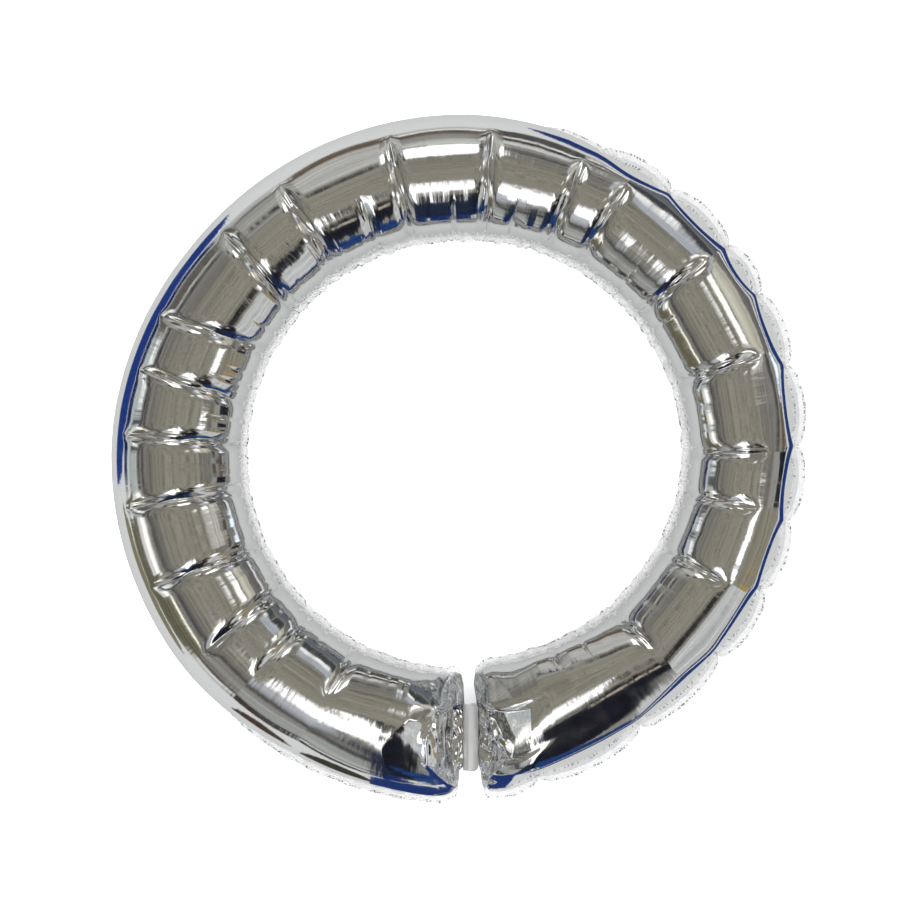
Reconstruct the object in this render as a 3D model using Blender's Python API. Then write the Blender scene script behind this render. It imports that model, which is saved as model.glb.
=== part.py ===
"""Ring foil balloon: an open linking ring of metallised film, air filled, lying flat.

Metres, +Z up. The gap between the two ends points to -Y. Angles round the ring are in degrees,
from the gap, clockwise as seen from above: 90 is at -X, 180 at +Y, 270 at +X. Angles round the
tube's section are 0 at the outer seam, 90 on top, 180 at the inner seam and 270 underneath.
"""

from math import ceil, cos, degrees, pi, radians, sin, sqrt

import bmesh
import bpy
from mathutils import Vector

# Tube
HALF_HEIGHT = 0.0285
FLOOR_FLAT = 0.0005
MID_HEIGHT = HALF_HEIGHT - FLOOR_FLAT
WALL = 0.003
TOUCH_GAP = 0.0004
SEAM_ROOT_GAP = 0.0005

# Outline of the flat ring: angle, outer radius and inner radius over the seams
OUTLINE = (
    (-4.0, 0.1757, 0.1068),
    (60.0, 0.1758, 0.1068),
    (92.0, 0.1757, 0.1068),
    (110.0, 0.1737, 0.1068),
    (130.0, 0.1713, 0.1068),
    (182.0, 0.1712, 0.1070),
    (200.0, 0.1727, 0.1083),
    (215.0, 0.1755, 0.1093),
    (248.0, 0.1763, 0.1105),
    (263.0, 0.1753, 0.1107),
    (280.0, 0.1732, 0.1098),
    (301.0, 0.1713, 0.1072),
    (318.0, 0.1690, 0.1055),
    (336.0, 0.1710, 0.1037),
    (352.0, 0.1745, 0.1027),
    (364.0, 0.1755, 0.1022),
)

# Seams: a flat heat-sealed strip along each edge
OUTER_SEAM_WIDTH = 0.0036
INNER_SEAM_WIDTH = 0.0030
SEAM_THICKNESS = 0.0010
SEAM_ROLL = 34.0
ROLL_START = 26.0
ROLL_END = 206.0
ROLL_RAMP = 18.0

# Ends of the tube at the gap, in degrees round the ring
LEFT_EDGE = -0.4
RIGHT_EDGE = 356.2
END_SEAM_SPAN = 1.7
LEFT_FILM_END = LEFT_EDGE + END_SEAM_SPAN
RIGHT_FILM_END = RIGHT_EDGE - END_SEAM_SPAN
END_ZONE = 14.0
TAPER_LENGTH = 0.027
LIP_HALF_HEIGHT = 0.0045
CORNER_RADIUS = 0.009
CORNER_SHARE = 0.7
END_SEAM_CORNER = 0.0026
SEAM_TO_FILM = 0.25
CORNER_STEPS = 4
NOTCH_DEPTH = 6.2
NOTCH_OUTER = (40.0, 50.0)
NOTCH_INNER = (125.0, 135.0)

# End seams: the flap's inner and outer radius, on each side of the neck
LEFT_INNER_FLAP = (0.1110, 0.1244)
LEFT_OUTER_FLAP = (0.1590, 0.1690)
RIGHT_INNER_FLAP = (0.1065, 0.1200)
RIGHT_OUTER_FLAP = (0.1548, 0.1650)

# Folds across the film: inner angle, outer angle, where the fold dies out, depth
FOLD_HALF_WIDTH = 1.7
FOLD_RISE = 28.0
FOLD_FADE = 32.0
FOLDS = (
    (28.0, 30.5, 90.0, 0.0025),
    (43.0, 43.0, 67.0, 0.0030),
    (54.0, 51.5, 50.0, 0.0035),
    (65.5, 67.0, 38.0, 0.0035),
    (81.0, 81.0, 38.0, 0.0035),
    (93.0, 93.5, 38.0, 0.0035),
    (104.0, 105.0, 42.0, 0.0035),
    (118.0, 114.0, 42.0, 0.0035),
    (131.0, 134.0, 45.0, 0.0035),
    (146.0, 146.0, 48.0, 0.0035),
    (158.5, 158.5, 80.0, 0.0025),
    (167.0, 167.0, 42.0, 0.0035),
    (186.0, 185.5, 42.0, 0.0035),
    (193.0, 194.5, 100.0, 0.0020),
    (202.5, 202.5, 45.0, 0.0035),
    (211.5, 211.5, 48.0, 0.0030),
    (231.5, 231.5, 50.0, 0.0035),
    (251.5, 251.5, 52.0, 0.0035),
    (269.5, 269.5, 60.0, 0.0030),
    (280.0, 280.0, 65.0, 0.0025),
    (295.5, 296.0, 68.0, 0.0030),
    (315.2, 315.2, 80.0, 0.0025),
    (335.0, 335.0, 105.0, 0.0020),
)

ROUNDING = 0.01

# Pinches in the outer seam, where two lobes meet
PINCHES = (205.0, 218.5, 232.0, 241.5, 254.5, 268.5, 281.5, 294.0, 308.0, 326.5, 346.5)
PINCH_DEPTH = 0.0030

# Rows of the films round the section
FRONT_ROWS = (0.0, 14.0, 28.0, 40.0, 50.0, 65.0, 80.0, 96.0, 111.0, 125.0, 135.0, 157.0, 180.0)
BACK_ROWS = (360.0, 346.0, 332.0, 320.0, 310.0, 294.0, 278.0, 262.0, 249.0, 235.0, 225.0, 203.0, 180.0)
ROLLED_ROWS = 70.0

# Columns round the ring, in degrees
END_STEPS = (0.0, 1.2, 3.0, 5.5, 9.0, END_ZONE)
WIDEST_COLUMN = 7.5
NARROWEST_COLUMN = 0.7

# Necks: the gathered film at each end, behind the closing tab. The swell is how far they
# stand out beyond the flat tip, from the tube (0) to the tip (1)
NECK_TIP_HALF_HEIGHT = 0.0022
LEFT_NECK_TIP = 0.0022
LEFT_NECK_RADII = (0.1252, 0.1580)
RIGHT_NECK_TIP = 0.0085
RIGHT_NECK_RADII = (0.1210, 0.1538)
NECK_SWELL = ((0.0, 0.0075), (0.22, 0.0115), (0.50, 0.0085), (0.70, 0.0040), (0.82, 0.0), (1.0, 0.0))
NECK_TO_FILM = 0.35
NECK_PLEATS = 9
PLEAT_DEPTH = 0.0007

# Closing tab, hinged along its left edge
TAB_LEFT = 0.0012
TAB_RIGHT = 0.0108
TAB_INNER = 0.1248
TAB_OUTER = 0.1585
TAB_THICKNESS = 0.0010
TAB_CORNER = 0.0020

FILM_COLOUR = (0.80, 0.80, 0.79, 1.0)
SEAM_COLOUR = (0.84, 0.84, 0.84, 1.0)
TAB_COLOUR = (0.78, 0.79, 0.80, 1.0)


def clear_scene():
    for item in list(bpy.data.objects):
        bpy.data.objects.remove(item, do_unlink=True)


def material(name, colour, roughness):
    made = bpy.data.materials.new(name)
    made.use_nodes = True
    shader = made.node_tree.nodes["Principled BSDF"]
    shader.inputs["Base Color"].default_value = colour
    shader.inputs["Metallic"].default_value = 1.0
    shader.inputs["Roughness"].default_value = roughness
    return made


def ease(value):
    value = min(1.0, max(0.0, value))
    return value * value * (3.0 - 2.0 * value)


def outline(angle):
    """Outer and inner radius over the seams, on a smooth curve through OUTLINE."""
    last = len(OUTLINE) - 2
    k = 0
    while k < last and angle > OUTLINE[k + 1][0]:
        k += 1
    here, after = OUTLINE[k], OUTLINE[k + 1]
    before = OUTLINE[max(k - 1, 0)]
    beyond = OUTLINE[min(k + 2, len(OUTLINE) - 1)]
    span = after[0] - here[0]
    s = (angle - here[0]) / span
    radii = []
    for column in (1, 2):
        slope_a = (after[column] - before[column]) / (after[0] - before[0]) * span
        slope_b = (beyond[column] - here[column]) / (beyond[0] - here[0]) * span
        a = (2 * s**3 - 3 * s**2 + 1) * here[column] + (s**3 - 2 * s**2 + s) * slope_a
        b = (3 * s**2 - 2 * s**3) * after[column] + (s**3 - s**2) * slope_b
        radii.append(a + b)
    return radii


def seam_roll(angle):
    """How far the outer seam is rolled under the tube, in degrees of the section."""
    up = ease((angle - ROLL_START) / ROLL_RAMP)
    down = ease((ROLL_END - angle) / ROLL_RAMP)
    return SEAM_ROLL * min(up, down)


def notch(section):
    """1 where the tube's end steps back for the neck, 0 at its two corners."""
    turned = section if section <= 180.0 else 360.0 - section
    rise = (turned - NOTCH_OUTER[0]) / (NOTCH_OUTER[1] - NOTCH_OUTER[0])
    fall = (NOTCH_INNER[1] - turned) / (NOTCH_INNER[1] - NOTCH_INNER[0])
    return max(0.0, min(1.0, rise, fall))


def from_ends(angle):
    """Degrees to the nearer end of the films, and which way that end lies."""
    left = angle - LEFT_FILM_END
    right = RIGHT_FILM_END - angle
    return (left, 1.0) if left < right else (right, -1.0)


def end_share(from_end):
    """How much of the notch's step is felt this far from the end."""
    return max(0.0, 1.0 - from_end / END_ZONE)


def lobe_pinch(angle):
    """How far the seam is drawn in between the lobes of the outer edge."""
    for first, second in zip(PINCHES, PINCHES[1:]):
        if first <= angle <= second:
            across = 2.0 * (angle - first) / (second - first) - 1.0
            return PINCH_DEPTH * (1.0 - sqrt(max(0.0, 1.0 - across * across)))
    return 0.0


def fold_depth(angle, section):
    """How deep the folds press into the film at one point."""
    turned = abs(section) if section <= 180.0 else 360.0 - section
    outward = ease((180.0 - turned) / 180.0)
    depth = 0.0
    for inner, outer, reach, deepest in FOLDS:
        line = inner + (outer - inner) * outward
        across = max(0.0, 1.0 - abs(angle - line) / FOLD_HALF_WIDTH)
        along = ease((180.0 - turned) / FOLD_RISE) * ease((turned - reach) / FOLD_FADE)
        depth += deepest * across * along
    return depth


def tube_point(angle, section, out, side):
    """A point on the tube's skin, moved out from it, on the front (+1) or back (-1) film."""
    c, s = cos(radians(section)), sin(radians(section))
    outer, inner = outline(angle)
    rolled = seam_roll(angle) / SEAM_ROLL
    outer -= OUTER_SEAM_WIDTH * (1.0 - rolled)
    inner += INNER_SEAM_WIDTH
    outer -= lobe_pinch(angle) * max(0.0, c) ** 3
    from_end, _ = from_ends(angle)
    middle = (outer + inner) / 2
    depth = max(0.0, radians(from_end - NOTCH_DEPTH * notch(section) * end_share(from_end)) * middle)
    corner = max(0.0, CORNER_RADIUS - radians(from_end) * middle)
    shrink = CORNER_RADIUS - sqrt(max(0.0, CORNER_RADIUS**2 - corner**2))
    half_width = (outer - inner) / 2
    rise = 1.0 - min(1.0, depth / TAPER_LENGTH)
    half_height = max(LIP_HALF_HEIGHT, HALF_HEIGHT * sqrt(max(0.0, 1.0 - rise * rise)))
    normal = Vector((c / half_width, s / half_height)).normalized()
    fold = fold_depth(angle, section) * half_height / HALF_HEIGHT
    r = middle + (half_width + out) * c - normal.x * fold - shrink * CORNER_SHARE * c**3
    z = MID_HEIGHT + (half_height + out) * s - normal.y * fold + side * TOUCH_GAP / 2
    a = radians(angle)
    return Vector((-r * sin(a), -r * cos(a), max(0.0, z)))


def columns():
    """Angles of the film's columns: the ends, each fold's lips and valley, each pinch."""
    marks = []
    for step in END_STEPS:
        marks += [LEFT_FILM_END + step, RIGHT_FILM_END - step]
    for inner, outer, _, _ in FOLDS:
        centre = (inner + outer) / 2
        marks += [centre - FOLD_HALF_WIDTH, centre, centre + FOLD_HALF_WIDTH]
    for pinch in PINCHES:
        if all(abs(pinch - mark) > NARROWEST_COLUMN for mark in marks):
            marks.append(pinch)
    marks.sort()
    angles = [marks[0]]
    for mark in marks[1:]:
        start = angles[-1]
        gap = mark - start
        if gap < NARROWEST_COLUMN:
            continue
        steps = max(1, ceil(gap / WIDEST_COLUMN))
        angles += [start + gap * k / steps for k in range(1, steps + 1)]
    return angles


def skewed(angle, section):
    """The true angle of a column at one row: it leans with its fold, and steps back at the ends."""
    turned = abs(section) if section <= 180.0 else 360.0 - section
    outward = ease((180.0 - turned) / 180.0)
    for inner, outer, _, _ in FOLDS:
        centre = (inner + outer) / 2
        if abs(angle - centre) <= FOLD_HALF_WIDTH + ROUNDING:
            return angle - centre + inner + (outer - inner) * outward
    from_end, way = from_ends(angle)
    return angle + way * NOTCH_DEPTH * notch(section) * end_share(from_end)


def film_rows(rows, angle, side):
    """Section angles of one column, drawn towards the rolled seam at its outer edge."""
    roll = seam_roll(angle)
    placed = []
    for row in rows:
        turned = row if side > 0 else 360.0 - row
        share = max(0.0, 1.0 - turned / ROLLED_ROWS)
        placed.append(row - roll * share)
    return placed


def new_object(name, mesh_maker, look):
    mesh = bpy.data.meshes.new(name)
    shape = bmesh.new()
    mesh_maker(shape)
    bmesh.ops.recalc_face_normals(shape, faces=shape.faces)
    shape.to_mesh(mesh)
    shape.free()
    mesh.materials.append(look)
    mesh.shade_smooth()
    mesh.set_sharp_from_angle(angle=radians(28.0))
    made = bpy.data.objects.new(name, mesh)
    bpy.context.scene.collection.objects.link(made)
    return made


def bridge(shape, first, second, closed):
    """Quads between two equal runs of points."""
    count = len(first)
    for k in range(count if closed else count - 1):
        n = (k + 1) % count
        shape.faces.new((first[k], first[n], second[n], second[k]))


def make_film(name, rows, side, look):
    """One film: a half tube with its inner face, its two edges and its two ends."""

    def build(shape):
        outside, inside = [], []
        for angle in columns():
            sections = film_rows(rows, angle, side)
            skin = [tube_point(skewed(angle, s), s, 0.0, side) for s in sections]
            lining = [tube_point(skewed(angle, s), s, -WALL, side) for s in sections[::2]]
            outside.append([shape.verts.new(point) for point in skin])
            inside.append([shape.verts.new(point) for point in lining])
        for k in range(len(outside) - 1):
            bridge(shape, outside[k], outside[k + 1], False)
            bridge(shape, inside[k], inside[k + 1], False)
            for edge in (0, -1):
                rim = (outside[k][edge], outside[k + 1][edge], inside[k + 1][edge], inside[k][edge])
                shape.faces.new(rim)
        for end in (0, -1):
            skin, lining = outside[end], inside[end]
            for k in range(len(lining) - 1):
                shape.faces.new((skin[2 * k], skin[2 * k + 1], lining[k]))
                shape.faces.new((skin[2 * k + 1], skin[2 * k + 2], lining[k + 1], lining[k]))

    return new_object(name, build, look)


def make_seam(name, section_of, width, look):
    """A sealed strip that stands out from the tube along one edge."""

    def build(shape):
        rings = []
        for angle in columns():
            section = section_of(angle)
            leaned = skewed(angle, section)
            root = tube_point(leaned, section, SEAM_ROOT_GAP, 0)
            tip = tube_point(leaned, section, width, 0)
            along = (tip - root).normalized()
            a = radians(leaned)
            round_ring = Vector((-cos(a), sin(a), 0.0))
            up = along.cross(round_ring).normalized() * SEAM_THICKNESS / 2
            rings.append([shape.verts.new(point) for point in (root - up, tip - up, tip + up, root + up)])
        for first, second in zip(rings, rings[1:]):
            bridge(shape, first, second, True)
        shape.faces.new(rings[0])
        shape.faces.new(rings[-1])

    return new_object(name, build, look)


def polar(angle, radius, height):
    a = radians(angle)
    return Vector((-radius * sin(a), -radius * cos(a), height))


def make_end_seam(name, edge, way, radii, corner_out, look):
    """The flat sealed flap across a corner of the tube's end, with one round corner."""

    def build(shape):
        film_side = edge + way * (END_SEAM_SPAN - SEAM_TO_FILM)
        reach = degrees(END_SEAM_CORNER / radii[0])
        turn = 1.0 if corner_out else -1.0
        square, rounded = radii if corner_out else radii[::-1]
        plan = [(film_side, square), (edge, square)]
        for k in range(CORNER_STEPS + 1):
            bend = pi / 2 * k / CORNER_STEPS
            back = edge + way * reach * (1.0 - cos(bend))
            plan.append((back, rounded - turn * END_SEAM_CORNER * (1.0 - sin(bend))))
        plan.append((film_side, rounded))
        half = SEAM_THICKNESS / 2
        lower = [shape.verts.new(polar(angle, radius, MID_HEIGHT - half)) for angle, radius in plan]
        upper = [shape.verts.new(polar(angle, radius, MID_HEIGHT + half)) for angle, radius in plan]
        bridge(shape, lower, upper, True)
        shape.faces.new(lower)
        shape.faces.new(upper)

    return new_object(name, build, look)


def make_neck(name, back_angle, tip_x, radii, look):
    """The gathered film of one end: pleated, thick at the tube and flat at its tip."""

    def build(shape):
        rings = []
        for number, (share, extra) in enumerate(NECK_SWELL):
            flat = extra == 0.0
            upper, lower = [], []
            for k in range(NECK_PLEATS + 1):
                across = k / NECK_PLEATS
                radius = radii[0] + (radii[1] - radii[0]) * across
                spot = polar(back_angle, radius, MID_HEIGHT).lerp(Vector((tip_x, -radius, MID_HEIGHT)), share)
                arch = sqrt(max(0.0, 1.0 - (2.0 * across - 1.0) ** 2))
                pleat = 0.0 if flat else PLEAT_DEPTH * (1 if (k + number) % 2 else -1)
                half = NECK_TIP_HALF_HEIGHT + extra * arch + (pleat if 0 < k < NECK_PLEATS else 0.0)
                upper.append(spot + Vector((0.0, 0.0, half)))
                lower.append(spot - Vector((0.0, 0.0, half)))
            rings.append([shape.verts.new(point) for point in upper + lower[::-1]])
        for first, second in zip(rings, rings[1:]):
            bridge(shape, first, second, True)
        shape.faces.new(rings[0])
        shape.faces.new(rings[-1])

    return new_object(name, build, look)


def make_tab(look):
    """The closing tab, a stiff strip that laps from the left neck on to the right one."""
    rest_height = MID_HEIGHT + NECK_TIP_HALF_HEIGHT + TOUCH_GAP
    hinge = Vector((TAB_LEFT, -(TAB_INNER + TAB_OUTER) / 2, rest_height))

    def build(shape):
        half_length = (TAB_OUTER - TAB_INNER) / 2
        width = TAB_RIGHT - TAB_LEFT
        plan = [(0.0, half_length), (0.0, -half_length)]
        for turn in (-1.0, 1.0):
            for k in range(CORNER_STEPS + 1):
                bend = pi / 2 * (k if turn < 0 else CORNER_STEPS - k) / CORNER_STEPS
                x = width - TAB_CORNER * (1.0 - sin(bend))
                plan.append((x, turn * (half_length - TAB_CORNER * (1.0 - cos(bend)))))
        lower = [shape.verts.new((x, y, 0.0)) for x, y in plan]
        upper = [shape.verts.new((x, y, TAB_THICKNESS)) for x, y in plan]
        bridge(shape, lower, upper, True)
        shape.faces.new(lower)
        shape.faces.new(upper)

    made = new_object("link_tab", build, look)
    made.location = hinge
    return made


def centre_ring(parts):
    """Set the ring's box centre over the origin."""
    points = [item.matrix_world @ vertex.co for item in parts for vertex in item.data.vertices]
    middle_x = (max(p.x for p in points) + min(p.x for p in points)) / 2
    middle_y = (max(p.y for p in points) + min(p.y for p in points)) / 2
    for item in parts:
        if item.location.length > 0.0:
            item.location -= Vector((middle_x, middle_y, 0.0))
        else:
            for vertex in item.data.vertices:
                vertex.co -= Vector((middle_x, middle_y, 0.0))


clear_scene()
film = material("silver_film", FILM_COLOUR, 0.08)
seam = material("sealed_edge", SEAM_COLOUR, 0.22)
tab = material("tab_film", TAB_COLOUR, 0.18)
left_back = LEFT_FILM_END + NOTCH_DEPTH - NECK_TO_FILM
right_back = RIGHT_FILM_END - NOTCH_DEPTH + NECK_TO_FILM
ring_parts = [
    make_film("front_film", FRONT_ROWS, 1, film),
    make_film("back_film", BACK_ROWS, -1, film),
    make_seam("outer_seam", lambda angle: -seam_roll(angle), OUTER_SEAM_WIDTH, seam),
    make_seam("inner_seam", lambda angle: 180.0, INNER_SEAM_WIDTH, seam),
    make_end_seam("left_end_seam_inner", LEFT_EDGE, 1.0, LEFT_INNER_FLAP, False, seam),
    make_end_seam("left_end_seam_outer", LEFT_EDGE, 1.0, LEFT_OUTER_FLAP, True, seam),
    make_end_seam("right_end_seam_inner", RIGHT_EDGE, -1.0, RIGHT_INNER_FLAP, False, seam),
    make_end_seam("right_end_seam_outer", RIGHT_EDGE, -1.0, RIGHT_OUTER_FLAP, True, seam),
    make_neck("left_neck", left_back, LEFT_NECK_TIP, LEFT_NECK_RADII, film),
    make_neck("right_neck", right_back, RIGHT_NECK_TIP, RIGHT_NECK_RADII, film),
    make_tab(tab),
]
bpy.context.view_layer.update()
centre_ring(ring_parts)
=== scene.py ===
"""Looks of the ring foil balloon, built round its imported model. Metres, +Z up.

Angles round the ring are in degrees from the gap at -Y, clockwise as seen from above: 90 is at -X,
180 at +Y, 270 at +X. Angles round the tube's section are 0 at the outer seam, 90 on top, 180 at the
inner seam, and negative underneath.
"""

from math import degrees, pi, radians, sin

import bpy
import numpy as np
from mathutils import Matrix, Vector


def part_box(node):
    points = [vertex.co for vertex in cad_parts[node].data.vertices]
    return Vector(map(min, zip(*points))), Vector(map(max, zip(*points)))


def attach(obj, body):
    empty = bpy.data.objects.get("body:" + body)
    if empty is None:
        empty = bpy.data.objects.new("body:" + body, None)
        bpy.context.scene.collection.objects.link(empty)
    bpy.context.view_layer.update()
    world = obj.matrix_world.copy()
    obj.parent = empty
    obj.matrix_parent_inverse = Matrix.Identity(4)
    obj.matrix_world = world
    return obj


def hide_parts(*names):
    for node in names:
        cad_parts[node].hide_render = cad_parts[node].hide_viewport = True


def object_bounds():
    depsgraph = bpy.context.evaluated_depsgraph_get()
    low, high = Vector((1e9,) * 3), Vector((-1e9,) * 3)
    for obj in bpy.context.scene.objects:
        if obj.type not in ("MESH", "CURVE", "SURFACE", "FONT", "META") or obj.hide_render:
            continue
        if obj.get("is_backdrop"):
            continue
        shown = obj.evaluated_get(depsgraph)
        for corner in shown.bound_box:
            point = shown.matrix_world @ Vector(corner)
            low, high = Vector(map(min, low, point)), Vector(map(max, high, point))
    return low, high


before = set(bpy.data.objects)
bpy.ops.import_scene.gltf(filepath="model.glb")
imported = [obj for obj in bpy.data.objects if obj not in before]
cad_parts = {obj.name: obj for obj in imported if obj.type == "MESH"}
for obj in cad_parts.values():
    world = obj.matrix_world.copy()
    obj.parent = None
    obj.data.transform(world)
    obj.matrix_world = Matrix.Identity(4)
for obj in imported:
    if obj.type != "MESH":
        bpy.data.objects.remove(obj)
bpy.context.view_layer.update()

# Front film: the upper sheet of metallised film, sealed to the back film along both edges of the
# ring. Air holds it up as half a tube. Film can't stretch, so it is folded across the tube all the
# way round, and stands as a nearly straight run of tube from one fold to the next.
MID_HEIGHT = 0.028
HALF_HEIGHT = 0.0285
# The ring's middle is found from the closing tab: its left edge and inner end lie this far from it
TAB_LEFT = 0.0012
TAB_INNER = 0.1248
tab_low, tab_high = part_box("link_tab")
RING_CENTRE = (tab_low.x - TAB_LEFT, tab_high.y + TAB_INNER)

# Radius of the outer and the inner edge, seams included, by angle round the ring
OUTLINE = np.array((
    (-4.0, 0.1757, 0.1068),
    (60.0, 0.1758, 0.1068),
    (92.0, 0.1757, 0.1068),
    (110.0, 0.1737, 0.1068),
    (130.0, 0.1713, 0.1068),
    (182.0, 0.1712, 0.1070),
    (200.0, 0.1727, 0.1083),
    (215.0, 0.1755, 0.1093),
    (248.0, 0.1763, 0.1105),
    (263.0, 0.1753, 0.1107),
    (280.0, 0.1732, 0.1098),
    (301.0, 0.1713, 0.1072),
    (318.0, 0.1690, 0.1055),
    (336.0, 0.1710, 0.1037),
    (352.0, 0.1745, 0.1027),
    (364.0, 0.1755, 0.1022),
))
OUTER_SEAM_WIDTH = 0.0036
INNER_SEAM_WIDTH = 0.0030
# On the left the outer seam is rolled under the tube. The roll, an angle of the section, grows and falls
# again over a ramp, and the film's rows up to ROLLED_ROWS turn down with it
SEAM_ROLL = 34.0
ROLL_START = 26.0
ROLL_END = 210.0
ROLL_RAMP = 30.0
ROLLED_ROWS = 70.0

# Where the film stops at the two ends: section angle, how far beside the gap's line, and the share of
# the tube's height that is left there
LEFT_FILM_END = 1.3
RIGHT_FILM_END = 354.5
LEFT_END_LINE = np.array((
    (0.0, 0.0022, 1.00),
    (16.0, 0.0030, 0.35),
    (38.0, 0.0082, 0.60),
    (50.0, 0.0132, 0.72),
    (66.0, 0.0215, 0.85),
    (87.0, 0.0220, 0.90),
    (108.5, 0.0172, 0.93),
    (118.0, 0.0128, 0.92),
    (143.0, 0.0156, 0.90),
    (180.0, 0.0066, 1.00),
))
RIGHT_END_LINE = np.array((
    (0.0, 0.0156, 1.00),
    (24.5, 0.0136, 0.50),
    (36.5, 0.0144, 0.62),
    (47.5, 0.0172, 0.72),
    (58.0, 0.0225, 0.86),
    (62.5, 0.0350, 0.95),
    (77.0, 0.0362, 0.98),
    (99.0, 0.0360, 0.97),
    (104.0, 0.0275, 0.93),
    (108.0, 0.0190, 0.88),
    (114.5, 0.0150, 0.90),
    (134.0, 0.0142, 0.84),
    (180.0, 0.0086, 1.00),
))
END_ZONE = 15.0
# Radius of the tube's middle at the ends, and half the tube's width there
END_RADIUS = (0.1408, 0.0320)
# The height falls towards an end over this length, on a curve of this power
TAPER_LENGTH = 0.018
TAPER_CURVE = 2.0
# Below FACET_TOP, the left end leans to the gap in one facet, long at the rim and short at the top: its
# length by section angle
FACET_TOP = 100.0
FACET_LENGTHS = ((0.0, 38.0, 95.0, 130.0), (0.026, 0.026, 0.009, 0.018))
FACET_CURVE = 1.15
# The tube also slims towards its ends, over this length and by this much. Where that is full is given by
# section angle and how far beside the gap's line
SLIM_LENGTH = 0.060
SLIM_DROP = 0.0036
LEFT_SLIM_END = ((0.0, 87.0, 180.0), (0.0022, 0.0215, 0.0066))
RIGHT_SLIM_END = ((0.0, 30.0, 99.0, 180.0), (0.0140, 0.0140, 0.0350, 0.0086))
# The film's corners at the ends are rounded off, by so much and over this length
LEFT_CORNER = 0.0045
RIGHT_CORNER = 0.0015
INNER_CORNER = 0.0030
CORNER_RADIUS = 0.009

# Folds: inner angle, outer angle, the section angle where the fold dies out, and its depth
FOLDS = (
    (28.0, 30.5, 96.0, 0.0022),
    (43.0, 43.0, 75.0, 0.0026),
    (54.0, 51.5, 60.0, 0.0030),
    (65.5, 67.0, 50.0, 0.0032),
    (81.0, 81.0, 48.0, 0.0032),
    (93.0, 93.5, 48.0, 0.0032),
    (104.0, 105.0, 52.0, 0.0030),
    (118.0, 114.0, 50.0, 0.0032),
    (131.0, 134.0, 52.0, 0.0032),
    (146.0, 146.0, 54.0, 0.0032),
    (158.5, 158.5, 92.0, 0.0018),
    (167.0, 167.0, 52.0, 0.0030),
    (186.0, 185.5, 52.0, 0.0030),
    (193.0, 194.5, 126.0, 0.0016),
    (202.5, 202.5, 55.0, 0.0030),
    (211.5, 211.5, 58.0, 0.0030),
    (231.5, 231.5, 60.0, 0.0030),
    (251.5, 251.5, 62.0, 0.0028),
    (269.5, 269.5, 68.0, 0.0026),
    (280.0, 280.0, 73.0, 0.0024),
    (295.5, 296.0, 76.0, 0.0028),
    (315.2, 315.2, 90.0, 0.0024),
    (335.0, 335.0, 116.0, 0.0020),
)
FOLD_MARKS = tuple((inner + outer) / 2 for inner, outer, _, _ in FOLDS)
# Folds too short to bend the tube: the straight runs pass over them
SHORT_FOLDS = (158.5, 193.75, 335.0)
FOLD_VALLEY = 0.0026
FOLD_REACH = 0.0085
FOLD_START = 26.0
FOLD_FADE = 16.0
# The share of a fold's strength beside the inner seam, and of its depth between its pleats
FOLD_AT_SEAM = 0.30
FOLD_BASE = 0.62
# The pleats lie across a fold, from this section angle to a little before the fold dies out
PLEATS_INNER = 160.0
PLEATS_CLEAR = 3.0
PLEAT_STEP = 0.0135
PLEAT_SHIFT = 0.002
PLEAT_LENGTH = (0.019, 0.030)
PLEAT_OFFSET = (0.0010, 0.0022)
PLEAT_WIDTH = (0.0019, 0.0028)
PLEAT_HEIGHT = (0.40, 0.75)
PLEAT_SLANT = 0.08

# The right side's outer edge stands in leaves between pinches of the seam
PINCHES = (205.0, 218.5, 232.0, 241.5, 254.5, 268.5, 281.5, 294.0, 308.0, 326.5, 346.5, 366.0)
LEAVES_START = 14.0
PINCH_DEPTH = 0.0036
LEAF_FULLNESS = 0.8
# At each pinch a valley runs up the tube, gone at a section angle after fading over so many degrees
PINCH_FADE = (50.0, 38.0)
PINCH_VALLEY = 0.0009
PINCH_VALLEY_WIDTH = 0.0011
PINCH_RADIUS = 0.17
# Each leaf meets the tube in a crease: its place across and up the section, and the slope over it, at a
# pinch and in the middle of a leaf
CREASE_AT = 36.0
CREASE_ACROSS = (0.81, 0.69)
CREASE_UP = (0.60, 0.69)
CREASE_SLOPE = (1.28, 1.36)
CREASE_FADE = 30.0
# Towards the right end the creases run further in and higher over the pinches
PINCHED_IN_FROM = 275.0
PINCHED_IN_TO = 312.0
PINCHED_ACROSS = -0.08
PINCHED_UP = 0.08

FILM_ROWS = 71
PLAIN_STEP = 0.3
FOLD_STEP = 0.16
FOLD_ZONE = 1.5
LEAN_END = 356.0
# How straight the tube is from fold to fold, and where that fades towards the outer and the inner seam:
# the section angle where it is gone, and over how many degrees
STRAIGHTNESS = 0.8
STRAIGHT_OUTER = (34.0, 36.0)
STRAIGHT_INNER = (176.0, 46.0)


def ease(value):
    """A soft step from 0 to 1 while the value runs from 0 to 1."""
    value = np.clip(value, 0.0, 1.0)
    return value * value * (3.0 - 2.0 * value)


def outline(angle):
    """Outer and inner radius over the seams, on a smooth curve through OUTLINE."""
    last = len(OUTLINE) - 1
    here = np.clip(np.searchsorted(OUTLINE[:, 0], angle, side="right") - 1, 0, last - 1)
    before, after, beyond = np.maximum(here - 1, 0), here + 1, np.minimum(here + 2, last)
    span = OUTLINE[after, 0] - OUTLINE[here, 0]
    s = (angle - OUTLINE[here, 0]) / span
    radii = []
    for column in (1, 2):
        knot = OUTLINE[:, column]
        slope_a = (knot[after] - knot[before]) / (OUTLINE[after, 0] - OUTLINE[before, 0]) * span
        slope_b = (knot[beyond] - knot[here]) / (OUTLINE[beyond, 0] - OUTLINE[here, 0]) * span
        a = (2 * s**3 - 3 * s**2 + 1) * knot[here] + (s**3 - 2 * s**2 + s) * slope_a
        b = (3 * s**2 - 2 * s**3) * knot[after] + (s**3 - s**2) * slope_b
        radii.append(a + b)
    return radii


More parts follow.
